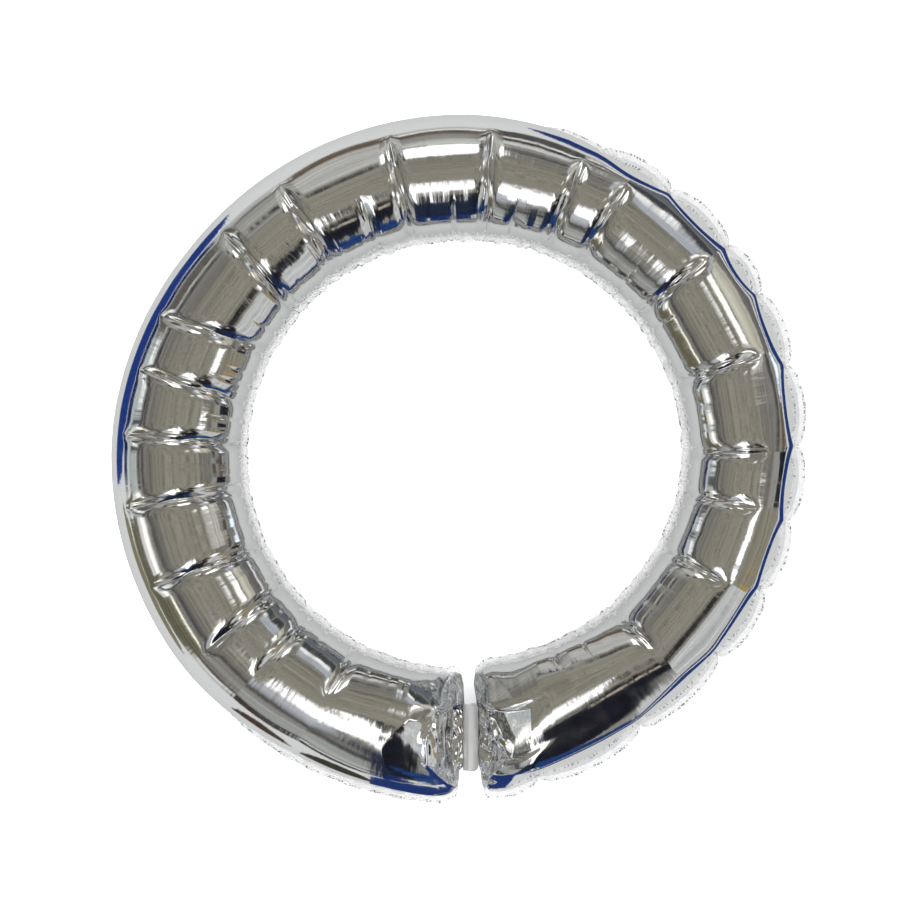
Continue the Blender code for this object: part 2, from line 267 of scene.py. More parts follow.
def seam_roll(angle):
    """How far the outer seam is rolled under the tube, in degrees of the section."""
    grown, falling = ease((angle - ROLL_START) / ROLL_RAMP), ease((ROLL_END - angle) / ROLL_RAMP)
    return SEAM_ROLL * np.minimum(grown, falling)


def lobe(angle):
    """0 at each pinch of the outer seam, 1 in the middle of each leaf, 0 on the rolled side."""
    rise = np.zeros_like(angle)
    for first, second in zip(PINCHES, PINCHES[1:]):
        across = 2.0 * (angle - first) / (second - first) - 1.0
        rise = np.where(np.abs(across) < 1.0, np.maximum(0.0, 1.0 - across**2) ** LEAF_FULLNESS, rise)
    return rise


def leaved(angle):
    """0 where the outer edge is plain, 1 where it stands in leaves."""
    return ease((angle - PINCHES[0] + LEAVES_START / 2) / LEAVES_START)


def leaf_section(angle, turned, half_width):
    """The section's outer half where the edge stands in leaves, as shares of its half width and height."""
    full = lobe(angle)
    across, up, slope = (low + (high - low) * full for low, high in (CREASE_ACROSS, CREASE_UP, CREASE_SLOPE))
    inner = ease((angle - PINCHED_IN_FROM) / (PINCHED_IN_TO - PINCHED_IN_FROM)) * (1.0 - full)
    across, up = across + PINCHED_ACROSS * inner, up + PINCHED_UP * inner
    edge = 1.0 - PINCH_DEPTH * (1.0 - full) / half_width
    climb = np.clip(turned / CREASE_AT, 0.0, 1.0)
    c, s = np.cos(np.radians(np.minimum(turned, 90.0))), np.sin(np.radians(turned))
    inward = np.clip(c / np.cos(radians(CREASE_AT)), 0.0, 1.0)
    plain = ease((turned - CREASE_AT) / CREASE_FADE)
    over_u = across * inward * (1.0 - plain) + c * plain
    over_v = (1.0 - (1.0 - up) * inward ** (slope * across / (1.0 - up))) * (1.0 - plain) + s * plain
    under = turned <= CREASE_AT
    return np.where(under, edge + (across - edge) * climb, over_u), np.where(under, up * climb, over_v)


def film_end(turned, line):
    """Where the film ends, in degrees off the gap's line, and the share of the height there."""
    distance = END_RADIUS[0] + END_RADIUS[1] * np.cos(np.radians(turned))
    beside = np.interp(turned, line[:, 0], line[:, 1])
    return np.degrees(np.arcsin(beside / distance)), np.interp(turned, line[:, 0], line[:, 2])


def straight_runs(angle):
    """How far a straight run of tube lies inside the round ring, as a share of its radius."""
    ends = [LEFT_FILM_END] + [mark for mark in FOLD_MARKS if mark not in SHORT_FOLDS] + [RIGHT_FILM_END]
    sag = np.zeros_like(angle)
    for first, second in zip(ends, ends[1:]):
        half, middle = radians(second - first) / 2, (first + second) / 2
        off = np.radians(angle - middle)
        sag = np.where(np.abs(off) < half, 1.0 - np.cos(half) / np.cos(np.clip(off, -half, half)), sag)
    return sag


def place(angle, radius, height):
    """World points from an angle round the ring, a radius and a height."""
    a = np.radians(angle)
    return np.stack((RING_CENTRE[0] - radius * np.sin(a), RING_CENTRE[1] - radius * np.cos(a), height), -1)


def tube(angle, section):
    """Points of the skin, for arrays of angles round the ring and round the section."""
    turned = np.abs(section)
    c, s = np.cos(np.radians(section)), np.sin(np.radians(section))
    outer, inner = outline(angle)
    outer = outer - OUTER_SEAM_WIDTH * (1.0 - seam_roll(angle) / SEAM_ROLL)
    inner = inner + INNER_SEAM_WIDTH
    middle, half_width = (outer + inner) / 2, (outer - inner) / 2
    half_height = HALF_HEIGHT * np.ones_like(angle)
    for line, off in ((LEFT_END_LINE, angle), (RIGHT_END_LINE, 360.0 - angle)):
        end, share = film_end(turned, line)
        left = line is LEFT_END_LINE
        length = np.interp(turned, *FACET_LENGTHS) if left else TAPER_LENGTH
        curve = np.where(turned < FACET_TOP, FACET_CURVE, TAPER_CURVE) if left else TAPER_CURVE
        rise = np.maximum(0.0, 1.0 - np.radians(np.maximum(off - end, 0.0)) * middle / length) ** curve
        slim_end = np.degrees(np.interp(turned, *(LEFT_SLIM_END if left else RIGHT_SLIM_END)) / middle)
        slim = np.clip(1.0 - np.radians(off - slim_end) * middle / SLIM_LENGTH, 0.0, 1.0)
        half_height = half_height - HALF_HEIGHT * (1.0 - share) * rise - SLIM_DROP * slim * slim
    from_end = np.maximum(np.minimum(angle - LEFT_FILM_END, RIGHT_FILM_END - angle), 0.0)
    corner = np.maximum(0.0, 1.0 - np.radians(from_end) * middle / CORNER_RADIUS)
    outer_corner = np.where(angle < 180.0, LEFT_CORNER, RIGHT_CORNER)
    shrink = np.where(c > 0.0, outer_corner, INNER_CORNER) * (1.0 - np.sqrt(np.maximum(0.0, 1.0 - corner**2)))
    leaf_u, leaf_v = leaf_section(angle, turned, half_width)
    share = leaved(angle) * (c > 0.0)
    u = c + (leaf_u - c) * share
    v = s + (np.sign(s) * leaf_v - s) * share
    sag = straight_runs(angle) * STRAIGHTNESS * ease(from_end / END_ZONE)
    sag = sag * ease((turned - STRAIGHT_OUTER[0]) / STRAIGHT_OUTER[1])
    sag = sag * ease((STRAIGHT_INNER[0] - turned) / STRAIGHT_INNER[1])
    radius = middle + half_width * u - shrink * c**3 - sag * middle
    return place(angle, radius, MID_HEIGHT + half_height * v)


def film_columns(near_folds, elsewhere):
    """Angles of the film's columns, closer together across each fold."""
    angle, columns = LEFT_FILM_END, []
    while angle < RIGHT_FILM_END:
        columns.append(angle)
        close = min(abs(angle - mark) for mark in FOLD_MARKS) < FOLD_ZONE
        angle += near_folds if close else elsewhere
    return np.array(columns[:-1] + [RIGHT_FILM_END])


def lean(columns, turned):
    """True angles of the columns at each row: they lean with their folds and step back at the ends."""
    marks = np.array(FOLD_MARKS)
    knots = np.concatenate(([0.0], marks, [LEAN_END]))
    outward = ease((180.0 - np.abs(turned)) / 180.0)
    angles = np.empty((len(turned), len(columns)))
    left_share = np.maximum(0.0, 1.0 - (columns - LEFT_FILM_END) / END_ZONE)
    right_share = np.maximum(0.0, 1.0 - (RIGHT_FILM_END - columns) / END_ZONE)
    left_shift = film_end(np.abs(turned), LEFT_END_LINE)[0] - LEFT_FILM_END
    right_shift = 360.0 - film_end(np.abs(turned), RIGHT_END_LINE)[0] - RIGHT_FILM_END
    for row, out in enumerate(outward):
        shift = np.array([inner + (outer - inner) * out for inner, outer, _, _ in FOLDS]) - marks
        near = np.interp(columns, knots, np.concatenate(([0.0], shift, [0.0])))
        angles[row] = columns + near + left_shift[row] * left_share + right_shift[row] * right_share
    return angles


def skin_normals(points):
    """Outward normals of a grid of points whose rows run from the outer seam to the inner one."""
    normal = np.cross(np.gradient(points, axis=0), np.gradient(points, axis=1))
    return normal / np.maximum(np.linalg.norm(normal, axis=2, keepdims=True), 1e-12)


# Length of the film across the tube from seam to seam, and the radius of the inner side, in metres
TUBE_GIRTH = 0.0935
INNER_RADIUS = 0.11


def fold_relief(columns, turned, radius, scale, seed):
    """Height of the folds over the plain skin: a valley with sharp little pleats lying across it."""
    relief = np.zeros((len(turned), len(columns)))
    turned = np.abs(turned)
    along = (180.0 - turned)[:, None] / 180.0 * TUBE_GIRTH
    for number, (inner, outer, reach, deepest) in enumerate(FOLDS):
        draw = np.random.default_rng(seed + number)
        centre = (inner + outer) / 2
        near = np.where(np.abs(columns - centre) < degrees(FOLD_REACH / INNER_RADIUS))[0]
        x = np.radians(columns[near] - centre)[None, :] * radius[:, near]
        strength = FOLD_AT_SEAM + (1.0 - FOLD_AT_SEAM) * ease((180.0 - turned) / FOLD_START)
        strength = strength * ease((turned - reach) / FOLD_FADE)
        base = deepest * FOLD_BASE
        block = -base * np.exp(-((np.abs(x) / FOLD_VALLEY) ** 1.5)) * np.ones_like(along)
        start = (180.0 - PLEATS_INNER) / 180.0 * TUBE_GIRTH
        stop = (180.0 - reach - PLEATS_CLEAR) / 180.0 * TUBE_GIRTH
        count = max(2, round((stop - start) / PLEAT_STEP))
        side = draw.choice((-1.0, 1.0))
        for k in range(count):
            middle = start + (stop - start) * (k + 0.5) / count + draw.uniform(-PLEAT_SHIFT, PLEAT_SHIFT)
            length = draw.uniform(*PLEAT_LENGTH)
            offset = side * draw.uniform(*PLEAT_OFFSET)
            side = -side
            width = draw.uniform(*PLEAT_WIDTH)
            height = base * draw.uniform(*PLEAT_HEIGHT)
            slant = draw.uniform(-PLEAT_SLANT, PLEAT_SLANT)
            inside = np.maximum(0.0, 1.0 - ((along - middle) / (length / 2)) ** 2)
            across = (x - offset - slant * (along - middle)) / (width * np.maximum(inside, 1e-6) ** 0.8)
            crest = -base + height * inside**0.6 * np.maximum(0.0, 1.0 - across**2)
            block = np.where((inside > 0.0) & (np.abs(across) < 1.0), np.maximum(block, crest), block)
        block = block * strength[:, None]
        relief[:, near] += block * scale
    return relief


# Puckers stand close together at the far side, and the last stretches before the ends are smooth
PUCKERS_START = 27.0
PUCKERS_END = 333.0
PUCKERS_CLOSE = (130.0, 200.0)
PUCKER_STEPS = ((0.9, 2.0), (2.4, 5.2))
PUCKER_ZONE = 1.4
SHORT_SHARE = 0.75
SHORT_PUCKER = (0.011, 0.019)
LONG_PUCKER = (0.024, 0.038)
PUCKER_WIDTH = (0.0010, 0.0020)
PUCKER_DEPTH = (0.0007, 0.0016)
# The ruffle's waves: pitch, size, and the section angle where each starts
RUFFLES = (
    (0.0103, 0.00014, 105.0),
    (0.0057, 0.00009, 122.0),
    (0.0034, 0.00005, 132.0),
)
RUFFLE_RADIUS = 0.118
RUFFLE_FADE = 34.0


def pucker_relief(columns, turned, radius, seed):
    """Short pointed puckers that rise out of the inner seam, and the finer ruffle between them."""
    draw = np.random.default_rng(seed)
    turned = np.abs(turned)
    relief = np.zeros((len(turned), len(columns)))
    climb = (180.0 - turned)[:, None] / 180.0 * TUBE_GIRTH
    angle = PUCKERS_START
    while angle < PUCKERS_END:
        length = draw.uniform(*(SHORT_PUCKER if draw.random() < SHORT_SHARE else LONG_PUCKER))
        width = draw.uniform(*PUCKER_WIDTH)
        depth = draw.uniform(*PUCKER_DEPTH)
        near = np.where(np.abs(columns - angle) < PUCKER_ZONE)[0]
        x = np.radians(columns[near] - angle)[None, :] * radius[:, near]
        point = np.clip(1.0 - climb / length, 0.0, 1.0)
        across = np.abs(x) / (width * np.maximum(point, 1e-6) ** 0.7)
        relief[:, near] -= depth * point**0.5 * np.maximum(0.0, 1.0 - across)
        apart = PUCKER_STEPS[0] if PUCKERS_CLOSE[0] < angle < PUCKERS_CLOSE[1] else PUCKER_STEPS[1]
        angle += draw.uniform(*apart)
    arc = np.radians(columns)[None, :] * RUFFLE_RADIUS
    for pitch, size, reach in RUFFLES:
        wave = np.abs(np.sin(pi * arc / pitch + draw.uniform(0.0, pi)))
        relief -= size * (1.0 - wave) * ease((turned - reach) / RUFFLE_FADE)[:, None]
    return relief


# Slow waves run over all the film, and finer ones over its outer side, away from the ends
SLACK_WAVES = 10
SLACK_PITCH = (0.009, 0.024)
SLACK_LEAN = 1.6
SLACK_SIZE = 0.000008
SLACK_RADIUS = 0.141
FINE_WAVES = ((0.0042, 0.000005), (0.0027, 0.000003))
FINE_RADIUS = 0.155
FINE_OUTER = (38.0, 20.0)
FINE_INNER = (112.0, 30.0)
FINE_ENDS = (30.0, 326.0)
FINE_RAMP = 14.0


def slack_relief(columns, turned, seed):
    """The faint unevenness of the film along each run of tube."""
    draw = np.random.default_rng(seed)
    turned = np.abs(turned)
    relief = np.zeros((len(turned), len(columns)))
    a, t = np.radians(columns)[None, :], np.radians(turned)[:, None]
    for _ in range(SLACK_WAVES):
        pitch = draw.uniform(*SLACK_PITCH)
        lean_over = draw.uniform(-SLACK_LEAN, SLACK_LEAN)
        turns = 2 * pi * SLACK_RADIUS / pitch * a + lean_over * t + draw.uniform(0.0, 2 * pi)
        relief += SLACK_SIZE * np.sin(turns)
    outer = ease((turned - FINE_OUTER[0]) / FINE_OUTER[1]) * ease((FINE_INNER[0] - turned) / FINE_INNER[1])
    calm = ease((columns - FINE_ENDS[0]) / FINE_RAMP) * ease((FINE_ENDS[1] - columns) / FINE_RAMP)
    for pitch, size in FINE_WAVES:
        turns = 2 * pi * FINE_RADIUS / pitch * a + draw.uniform(0.0, 2 * pi)
        relief += size * np.sin(turns) * outer[:, None] * calm
    return relief


def crease_relief(angles, turned):
    """The valley at each pinch of the outer seam, dying out up the tube."""
    relief = np.zeros_like(angles)
    fade = ease((PINCH_FADE[0] - np.abs(turned)) / PINCH_FADE[1])[:, None]
    for pinch in PINCHES:
        x = np.radians(angles - pinch) * PINCH_RADIUS
        relief -= PINCH_VALLEY * np.exp(-np.abs(x) / PINCH_VALLEY_WIDTH) * fade
    return relief


def sheet(name, grids, look, outward=True, uv=None):
    """A mesh object from grids of points, with their rows and columns as quads."""
    parts, quads, start = [], [], 0
    for grid in grids:
        index = start + np.arange(grid.shape[0] * grid.shape[1]).reshape(grid.shape[:2])
        corners = (index[:-1, :-1], index[1:, :-1], index[1:, 1:], index[:-1, 1:])
        quads.append(np.stack(corners if outward else corners[::-1], -1).reshape(-1, 4))
        parts.append(grid.reshape(-1, 3))
        start += len(parts[-1])
    quads = np.concatenate(quads)
    mesh = bpy.data.meshes.new(name)
    mesh.from_pydata(np.concatenate(parts).tolist(), [], quads.tolist())
    if uv is not None:
        layer = mesh.uv_layers.new(name="along_across")
        layer.data.foreach_set("uv", uv.reshape(-1, 2)[quads.ravel()].ravel().astype(np.float32))
    mesh.shade_smooth()
    mesh.materials.append(look)
    made = bpy.data.objects.new(name, mesh)
    bpy.context.scene.collection.objects.link(made)
    return made


def link_node(tree, kind, settings=None, **wires):
    """A shader node with its settings, and its inputs wired or set by name or number."""
    made = tree.nodes.new(kind)
    for key, value in (settings or {}).items():
        setattr(made, key, value)
    for key, value in wires.items():
        socket = made.inputs[int(key[1:])] if key[0] == "i" and key[1:].isdigit() else made.inputs[key]
        if isinstance(value, bpy.types.NodeSocket):
            tree.links.new(value, socket)
        else:
            socket.default_value = value
    return made


def noise(tree, points, detail):
    """Soft noise in two dimensions, about one unit from blotch to blotch."""
    kind = {"noise_dimensions": "2D"}
    return link_node(tree, "ShaderNodeTexNoise", kind, Vector=points, Scale=1.0, Detail=detail).outputs[0]


def spread_noise(tree, spread, pitches, detail):
    """Noise over a piece, with its pitch along and across it in metres."""
    scale = (1 / pitches[0], 1 / pitches[1], 1.0)
    return noise(tree, link_node(tree, "ShaderNodeMapping", i0=spread, i3=scale).outputs[0], detail)


def mixed_colour(tree, share, first, second, way="MIX"):
    """Two colours mixed, each of them a value or the output of another node."""
    kind = {"data_type": "RGBA", "blend_type": way}
    return link_node(tree, "ShaderNodeMix", kind, i0=share, i6=first, i7=second).outputs[2]


def carried(tree, value, limits, results):
    """A value carried from one range to another, and held at its ends."""
    ranges = {"i1": limits[0], "i2": limits[1], "i3": results[0], "i4": results[1]}
    return link_node(tree, "ShaderNodeMapRange", i0=value, **ranges).outputs[0]


def maths(tree, operation, *values):
    """One step of arithmetic on values or on the outputs of other nodes."""
    wires = {f"i{number}": value for number, value in enumerate(values)}
    return link_node(tree, "ShaderNodeMath", {"operation": operation}, **wires).outputs[0]


def start_film(name, metal):
    """A new material of film, its node tree, and its map along and across the piece."""
    made = bpy.data.materials.new(name)
    made.use_nodes = True
    tree = made.node_tree
    tree.nodes["Principled BSDF"].inputs["Metallic"].default_value = metal
    return made, tree, link_node(tree, "ShaderNodeUVMap", {"uv_map": "along_across"}).outputs["UV"]


def finish_film(tree, colour, roughness, height):
    """Wires a film's colour, roughness and height in metres to its shader."""
    shader = tree.nodes["Principled BSDF"]
    bump = link_node(tree, "ShaderNodeBump", Strength=1.0, Distance=1.0, Height=height)
    tree.links.new(colour, shader.inputs["Base Color"])
    tree.links.new(roughness, shader.inputs["Roughness"])
    tree.links.new(bump.outputs["Normal"], shader.inputs["Normal"])


GRAIN_PITCHES = (0.0021, 0.016)
SPECK_PITCHES = (0.006, 0.009)


def foil(name, shade, roughness, grain, ripple, metal=1.0):
    """Metallised film: a mirror with a faint drawn grain across the tube and dull specks."""
    made, tree, spread = start_film(name, metal)
    comb = spread_noise(tree, spread, GRAIN_PITCHES, 1.5)
    dull = spread_noise(tree, spread, SPECK_PITCHES, 4.0)
    darker = (shade[0] * 0.97, shade[1] * 0.97, shade[2] * 0.99, 1.0)
    tone = mixed_colour(tree, dull, darker, (*shade, 1.0))
    rough = carried(tree, dull, (0.3, 0.75), (roughness, roughness * 1.8))
    height = maths(tree, "MULTIPLY_ADD", dull, ripple, maths(tree, "MULTIPLY", comb, grain))
    finish_film(tree, tone, rough, height)
    return made


# The film's map is in metres, along the ring at its middle radius and across the tube from the inner seam
MAP_RADIUS = 0.1415


def film_map(angles, section):
    """Where each point of a film lies along the ring and across the tube."""
    across = (180.0 - section)[:, None] / 180.0 * TUBE_GIRTH
    return np.stack(np.broadcast_arrays(np.radians(angles) * MAP_RADIUS, across), -1)


FILM_SHADE = (0.72, 0.72, 0.715)
film_look = foil("silver_film", FILM_SHADE, roughness=0.075, grain=0.00003, ripple=0.00004)

columns = film_columns(FOLD_STEP, PLAIN_STEP)
turned = np.linspace(0.0, 180.0, FILM_ROWS)
angles = lean(columns, turned)
rolled = turned[:, None] - seam_roll(angles) * np.maximum(0.0, 1.0 - turned[:, None] / ROLLED_ROWS)
skin = tube(angles, rolled)
radius = np.hypot(skin[..., 0] - RING_CENTRE[0], skin[..., 1] - RING_CENTRE[1])
relief = fold_relief(columns, turned, radius, scale=1.0, seed=20) + pucker_relief(columns, turned, radius, 7)
relief = relief + slack_relief(columns, turned, 3) + crease_relief(angles, turned)
skin = skin + skin_normals(skin) * relief[..., None]
front_film = sheet("front_film_skin", (skin,), film_look, uv=film_map(angles, turned))
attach(front_film, "ring")
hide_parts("front_film")

# Back film: the lower sheet, the same cut as the front one. It lies flat where it touches the
# table, and its folds answer those of the front film across the inner seam.
BACK_ROWS = 48
BACK_STEP = 0.8
BACK_FOLD_STEP = 0.36
back_columns = film_columns(BACK_FOLD_STEP, BACK_STEP)
back_turned = np.linspace(0.0, 180.0, BACK_ROWS)
back_angles = lean(back_columns, back_turned)
back_roll_share = np.maximum(0.0, 1.0 - back_turned[:, None] / ROLLED_ROWS)
back_rolled = back_turned[:, None] + seam_roll(back_angles) * back_roll_share
back_skin = tube(back_angles, -back_rolled)
back_radius = np.hypot(back_skin[..., 0] - RING_CENTRE[0], back_skin[..., 1] - RING_CENTRE[1])
back_relief = fold_relief(back_columns, back_turned, back_radius, scale=0.8, seed=120)
back_relief = back_relief + pucker_relief(back_columns, back_turned, back_radius, 7)
back_relief = back_relief + crease_relief(back_angles, back_turned)
back_skin = back_skin - skin_normals(back_skin) * back_relief[..., None]
back_skin[..., 2] = np.maximum(back_skin[..., 2], 0.0)
back_uv = film_map(back_angles, -back_turned)
back_film = sheet("back_film_skin", (back_skin,), film_look, outward=False, uv=back_uv)
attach(back_film, "ring")
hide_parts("back_film")

# Ends: each end of the tube is pressed flat and sealed. From the full tube its film falls to the
# closing tab in flat facets and soft pockets, and it crumples where there is too much of it. The
# corners beside the necks are sealed flaps, marked by the sealing bar.

# Each row starts at the film's edge, at a section angle, and runs to the rim. Its points are given by
# how far they lie right of the ring's middle, in front of it and over mid height, in millimetres.
LEFT_END = (
    (180, (-5.2, 109.3, 0.1), (-3.6, 109.1, 0.1), (-2, 109.3, 0.1), (-0.6, 110, 0.1), (0.5, 111.2, 0.1)),
    (143, (-9.6, 117.5, 11.5), (-6.8, 116.6, 8), (-4, 116.2, 4.8), (-1.2, 115.8, 2.2), (1.3, 115.4, 0.4)),
    (118, (-11.2, 126, 20.6), (-8.6, 126, 17), (-5.6, 125.6, 12.6), (-2, 125, 7.6), (1.6, 124.5, 2.4)),
    (108.5, (-14.4, 129.4, 22.6), (-10.8, 128.8, 20.9), (-7.4, 128, 13), (-4.2, 127.8, 3), (2.2, 127.6, 1.7)),
    (87, (-17, 141, 22.4), (-11.4, 141, 20), (-7.6, 141, 13.4), (-4.4, 141, 3), (2.4, 141, 1.7)),
    (66, (-17, 153.4, 19.6), (-12.4, 155.4, 17.6), (-8.2, 156, 11.4), (-4.2, 156.4, 2.8), (1.8, 156, 1.6)),
    (50, (-11.2, 159.6, 15.6), (-8.6, 159.4, 12), (-6, 159.2, 8.2), (-3.6, 159, 2.5), (-1, 158.8, 1)),
    (38, (-6.9, 164, 10), (-5.4, 163.6, 7.6), (-4, 163.4, 5.2), (-2.4, 163.2, 3), (-1, 163, 0.9)),
    (16, (-2.7, 166.6, 2.4), (-2.4, 166.2, 1.8), (-2, 165.8, 1.2), (-1.7, 165.4, 0.7), (-1.3, 165, 0.4)),
    (0, (-2, 167.2, 0.1), (-1.8, 166.9, 0.1), (-1.6, 166.6, 0.1), (-1.5, 166.3, 0.1), (-1.4, 166, 0.1)),
)
RIGHT_END = (
    (180, (8.2, 109, 0.1), (7.8, 109.4, 0.1), (7.4, 109.8, 0.1), (7.1, 110.3, 0.1), (6.8, 111, 0.1)),
    (134, (12.4, 115.3, 8.8), (11, 115.4, 5.8), (9.5, 115.4, 3.5), (8, 115.2, 1.8), (6.4, 115, 0.4)),
    (114.5, (13.4, 124.3, 14.8), (12.2, 124.4, 10.4), (10.9, 124.5, 7), (9.6, 124.4, 4.4), (7.8, 124, 1.8)),
    (99, (21.5, 127.6, 15.4), (16.6, 127, 12.6), (13, 127.4, 10), (11.8, 127.6, 4), (7.9, 127.8, 1.9)),
    (77, (26.8, 141, 19.2), (21.4, 141, 16.4), (16.6, 141, 13), (13.8, 141, 4.6), (7.9, 141, 1.9)),
    (62.5, (25, 150.4, 17.6), (22.8, 150.3, 15.4), (20.6, 150, 12.6), (16.2, 150.4, 4.8), (7.9, 150.5, 1.9)),
    (58, (21.9, 152.6, 17.4), (21, 152.6, 15), (18.8, 152.6, 11), (15.2, 153.2, 4.2), (8.6, 154.6, 1.7)),
    (47.5, (16.2, 158.8, 14), (15.4, 158.6, 10.5), (14.3, 158.5, 7), (12.6, 158.6, 3.6), (9.8, 159, 1)),
    (36.5, (13.5, 163.1, 9.5), (12.8, 163, 7), (12, 163, 4.8), (11.1, 163.1, 2.6), (10.2, 163.2, 0.6)),
    (24.5, (12.9, 166.6, 4.6), (12.4, 166.4, 3.4), (11.8, 166.2, 2.3), (11.2, 166, 1.3), (10.6, 165.8, 0.4)),
    (0, (14.2, 169.2, 0.1), (13.2, 168.8, 0.1), (12.3, 168.2, 0.1), (11.6, 167.5, 0.1), (11, 166.7, 0.1)),
)
# How crumpled the film is from the film's edge to the rim, and from the inner seam to the outer one
LEFT_CRUMPLED = ((0.0, 0.15, 0.30, 0.70, 0.75, 0.05), (0.3, 1.2, 0.4, 1.0, 1.0, 0.8, 1.2, 1.0, 0.5, 0.2))
RIGHT_CRUMPLED = ((0.0, 0.04, 0.12, 0.45, 1.0, 0.25), (0.3, 1.4, 0.6, 1.0, 1.0, 0.9, 0.9, 0.9, 0.9, 0.5, 0.2))
CRUMPLE_PITCHES = (0.0064, 0.0047, 0.0035)
CRUMPLE_STEEPNESS = 0.44
CRUMPLE_DRAWN_OUT = 1.9
CRUMPLE_BEND = 0.25
CRUMPLE_BEND_PITCH = 2.3
END_STEP = 0.0005
END_COLUMN_STEPS = 11
# At the ends each film stays this far off mid height, and the ends and seams this far off the table
LEAST_HEIGHT = 0.0001
TABLE_GAP = 0.0006


def crumple(u, v, draw):
    """Creased height: folded planes crossing at all angles, drawn out along v, in metres."""
    height = np.zeros(np.broadcast(u, v).shape)
    v = v / CRUMPLE_DRAWN_OUT
    for pitch in CRUMPLE_PITCHES:
        way, shift = draw.uniform(0.0, pi), draw.uniform(0.0, 1.0)
        bent = np.sin(2 * pi * (u * sin(way) - v * np.cos(way)) / (CRUMPLE_BEND_PITCH * pitch) + 6.0 * shift)
        wave = (u * np.cos(way) + v * sin(way)) / pitch + shift + CRUMPLE_BEND * bent
        height += CRUMPLE_STEEPNESS * pitch / 4.0 * (4.0 * np.abs(wave - np.floor(wave) - 0.5) - 1.0)
    return height


def end_net(rows, crumpled, edge_points, edge_turned, side, seed):
    """Points of one end's upper (side 1) or lower (-1) film, and the row number of each line of them."""
    sections = np.array([row[0] for row in rows])
    table = np.array([row[1:] for row in rows]) / 1000.0
    gaps = np.linalg.norm(np.diff(table, axis=0), axis=-1).max(axis=1)
    lines = [np.linspace(k, k + 1, int(gap / END_STEP) + 2, endpoint=False) for k, gap in enumerate(gaps)]
    lines = np.concatenate(lines + [[len(rows) - 1.0]])
    low = np.minimum(lines.astype(int), len(rows) - 2)
    share = (lines - low)[:, None, None]
    inner = table[low] * (1.0 - share) + table[low + 1] * share
    at = np.interp(lines, np.arange(len(rows)), sections)
    edge = np.stack([np.interp(at, edge_turned, edge_points[:, axis]) for axis in range(3)], -1)
    edge = (edge - np.array((*RING_CENTRE, MID_HEIGHT))) * np.array((1.0, -1.0, side))
    net = np.concatenate((edge[:, None], inner), axis=1)
    across = np.linspace(0.0, net.shape[1] - 1.0, END_COLUMN_STEPS * (net.shape[1] - 1) + 1)
    left = np.minimum(across.astype(int), net.shape[1] - 2)
    share = (across - left)[None, :, None]
    points = net[:, left] * (1.0 - share) + net[:, left + 1] * share
    size = np.interp(across, np.arange(len(crumpled[0])), crumpled[0])[None, :]
    size = size * np.interp(lines, np.arange(len(rows)), crumpled[1])[:, None]
    height = points[..., 2] + size * crumple(points[..., 0], points[..., 1], np.random.default_rng(seed))
    height = np.maximum(height, LEAST_HEIGHT)
    x, y = RING_CENTRE[0] + points[..., 0], RING_CENTRE[1] - points[..., 1]
    world = np.stack((x, y, MID_HEIGHT + side * height), -1)
    world[..., 2] = np.maximum(world[..., 2], TABLE_GAP)
    return world, lines, across


def end_piece(name, node, look, grids, outward):
    """One piece of an end, from its grids of points, mapped as seen from above."""
    seen_from_above = np.concatenate([grid[..., :2].reshape(-1, 2) for grid in grids])
    made = sheet(name, grids, look, outward, uv=seen_from_above)
    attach(made, "ring")
    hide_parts(node)


# Dark specks stand on a sealed strip from SPECKS_FROM outwards, where the wrinkles run high
SPECKS_FROM = 0.0019
SPECKS_RAMP = 0.0003
SPECK_SIZE = (0.40, 0.28)
SPECK_RUNS = (0.44, 0.56)
SPECK_STRENGTH = 0.9
SPECK_SHADE = (0.03, 0.032, 0.035, 1.0)
WRINKLE_PITCHES = (0.0024, 0.006)


def knurled(name, shade, roughness, pitch, depth, metal, wrinkle):
    """Sealed film: the mirror is broken by the dots and fine wrinkles that the sealing bar leaves."""
    made, tree, spread = start_film(name, metal)
    kind = {"voronoi_dimensions": "2D"}
    dots = link_node(tree, "ShaderNodeTexVoronoi", kind, Vector=spread, Scale=1.0 / pitch).outputs[0]
    creases = spread_noise(tree, spread, WRINKLE_PITCHES, 3.0)
    darker = (shade[0] * 0.93, shade[1] * 0.93, shade[2] * 0.94, 1.0)
    tone = mixed_colour(tree, creases, darker, (*shade, 1.0))
    spot = carried(tree, dots, SPECK_SIZE, (0.0, 1.0))
    across = link_node(tree, "ShaderNodeSeparateXYZ", Vector=spread).outputs[1]
    rim = carried(tree, across, (SPECKS_FROM, SPECKS_FROM + SPECKS_RAMP), (0.0, 1.0))
    runs = carried(tree, creases, SPECK_RUNS, (0.0, SPECK_STRENGTH))
    share = maths(tree, "MULTIPLY", maths(tree, "MULTIPLY", spot, rim), runs)
    marked = mixed_colour(tree, share, tone, SPECK_SHADE)
    rough = carried(tree, dots, (0.0, 0.8), (roughness, roughness * 1.6))
    height = maths(tree, "MULTIPLY_ADD", creases, wrinkle, maths(tree, "MULTIPLY", dots, depth))
    finish_film(tree, marked, rough, height)
    return made


NECK_SHADE = (0.76, 0.77, 0.78)
FLAP_SHADE = (0.93, 0.95, 0.98)
neck_look = foil("crumpled_film", NECK_SHADE, roughness=0.05, grain=0.00004, ripple=0.00008)
flap_look = knurled(
    "sealed_flap", FLAP_SHADE, roughness=0.10, pitch=0.0018, depth=0.00012, metal=1.0, wrinkle=0.0024
)
